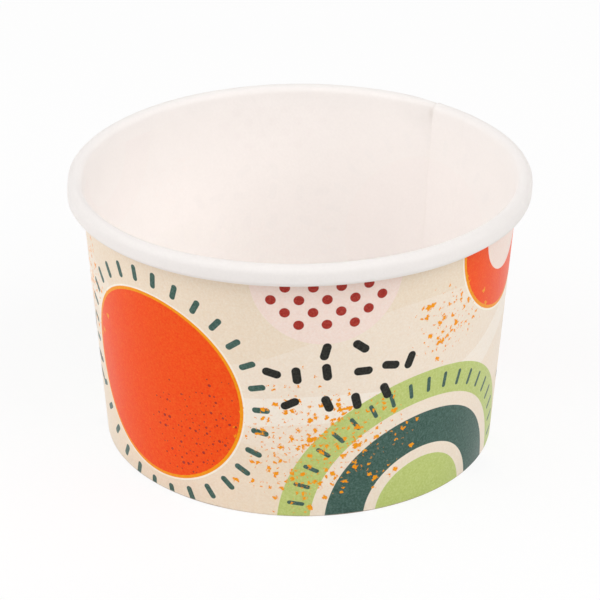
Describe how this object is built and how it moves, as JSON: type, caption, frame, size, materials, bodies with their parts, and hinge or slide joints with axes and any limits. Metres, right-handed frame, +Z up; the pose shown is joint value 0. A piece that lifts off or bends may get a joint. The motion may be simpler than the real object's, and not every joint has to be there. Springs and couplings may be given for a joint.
{
  "type": "paper ice cream cup",
  "caption": "Open round cup of printed card with a rolled rim, a lapped side seam and a recessed base, for a scoop of ice cream or another dessert.",
  "frame": {"origin": "centre of the foot, on the surface that the cup stands on", "axes": "+Z up along the cup's axis, through its mouth; -Y is the side that the picture shows, and the side seam is between +X and +Y"},
  "size_m": [0.096, 0.096, 0.0585],
  "materials": {
    "printed_card": "satin print outside, white coating inside and on the rim",
    "white_card": "satin white coating"
  },
  "bodies": {
    "root": {"sidewall": "printed_card", "base_disc": "white_card"}
  },
  "joints": []
}
